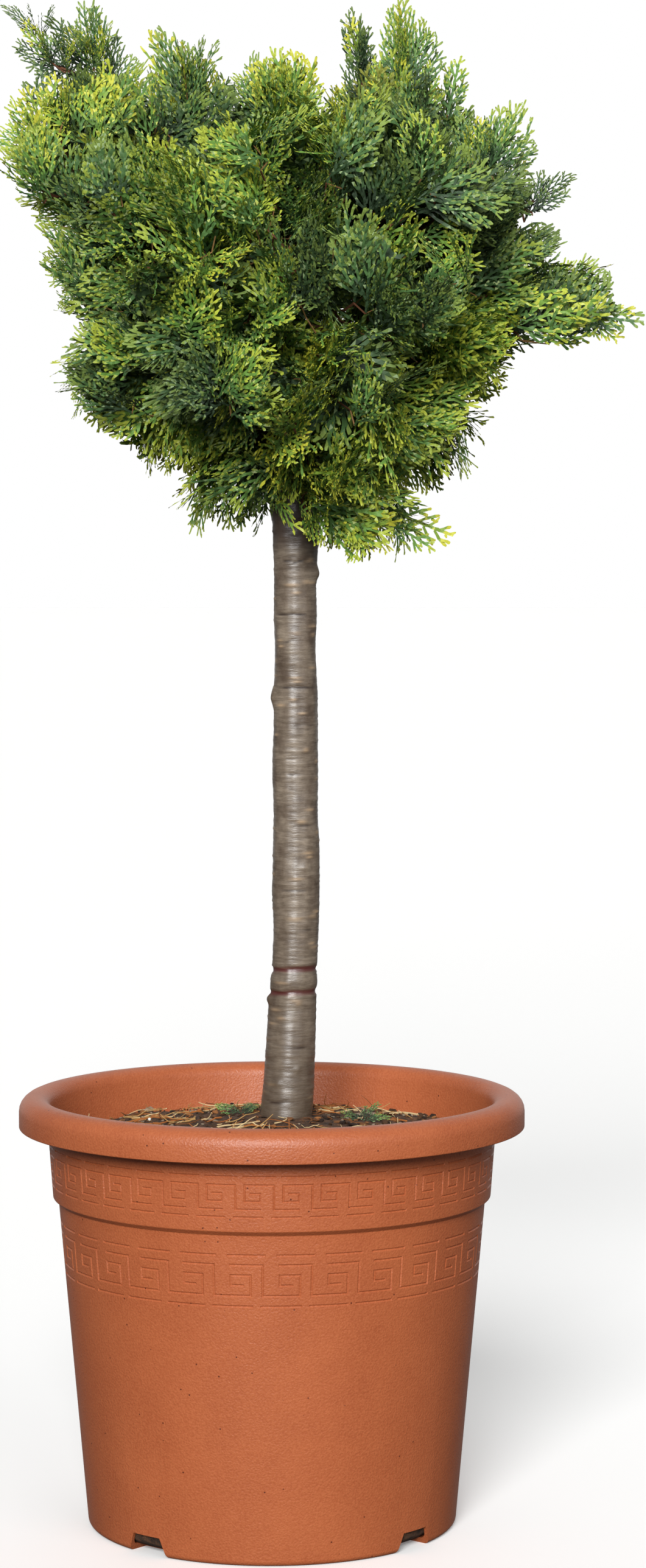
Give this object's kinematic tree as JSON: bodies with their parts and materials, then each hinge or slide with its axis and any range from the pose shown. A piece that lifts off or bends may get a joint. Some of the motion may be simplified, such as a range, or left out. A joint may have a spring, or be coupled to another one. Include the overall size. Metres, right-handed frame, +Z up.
{
  "type": "potted half-standard dwarf hinoki cypress",
  "caption": "Small evergreen grown on a clear stem, with an uneven crown of fan-shaped sprays, in a round nursery pot with raised key-pattern bands.",
  "frame": {"origin": "centre of the pot's flat underside, which stands on the ground", "axes": "+Z up along the stem, +X to the right as the plant's face is seen, -Y towards the viewer of its face"},
  "size_m": [0.3498, 0.2931, 0.8416],
  "materials": {
    "pot_plastic": "satin",
    "compost": "rough",
    "stem_bark": "rough",
    "bough_bark": "rough",
    "foliage": "matte"
  },
  "bodies": {
    "root": {"arm_right": "foliage", "belly_left": "foliage", "belly_mid": "foliage", "belly_right": "foliage", "bough_back_high": "bough_bark", "bough_back_low": "bough_bark", "bough_front": "bough_bark", "bough_left": "bough_bark", "bough_left_high": "bough_bark", "bough_left_low": "bough_bark", "bough_right": "bough_bark", "bough_right_high": "bough_bark", "bough_right_low": "bough_bark", "brow_left": "foliage", "brow_mid": "foliage", "brow_right": "foliage", "cheek_right": "foliage", "chin": "foliage", "crest_left": "foliage", "drop_front": "foliage", "drop_right": "foliage", "face_left": "foliage", "face_mid": "foliage", "face_mid_left": "foliage", "face_mid_right": "foliage", "fan_left": "foliage", "fan_right": "foliage", "flank_left": "foliage", "flank_low_right": "foliage", "gold_low_right": "foliage", "gold_right": "foliage", "hand_right": "foliage", "hem_front": "foliage", "hem_left": "foliage", "leader": "bough_bark", "lobe_front": "foliage", "lobe_outer": "foliage", "lobe_upper": "foliage", "nape_hem": "foliage", "nape_left": "foliage", "nape_low_left": "foliage", "nape_low_right": "foliage", "nape_mid": "foliage", "nape_right": "foliage", "nape_top_left": "foliage", "nape_top_mid": "foliage", "nape_top_right": "foliage", "pot": "pot_plastic", "prong_right": "foliage", "skirt_left": "foliage", "skirt_low_left": "foliage", "skirt_right": "foliage", "soil": "compost", "spire_five": "foliage", "spire_four": "foliage", "spire_one": "foliage", "spire_three": "foliage", "spire_two": "foliage", "trunk": "stem_bark", "wisp_left": "foliage"}
  },
  "joints": []
}
